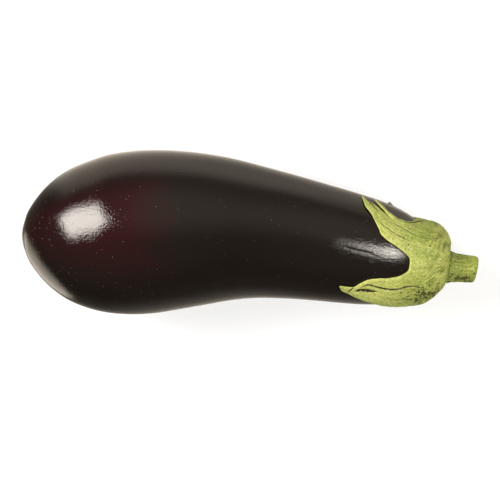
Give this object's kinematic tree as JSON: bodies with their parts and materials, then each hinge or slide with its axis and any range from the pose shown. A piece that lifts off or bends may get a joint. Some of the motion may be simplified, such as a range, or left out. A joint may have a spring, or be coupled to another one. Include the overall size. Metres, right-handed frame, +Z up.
{
  "type": "eggplant",
  "caption": "Whole eggplant lying on its side: a bent, glossy, near-black fruit with a pale green lobed calyx and a short cut stem.",
  "frame": {"origin": "middle of the flat spot that the fruit rests on, at floor level", "axes": "+X from the blossom end towards the stem, +Z up"},
  "size_m": [0.2182, 0.0781, 0.0774],
  "materials": {
    "skin": "waxy gloss",
    "green": "matte"
  },
  "bodies": {
    "root": {"fruit": "skin", "calyx_and_stem": "green"}
  },
  "joints": []
}
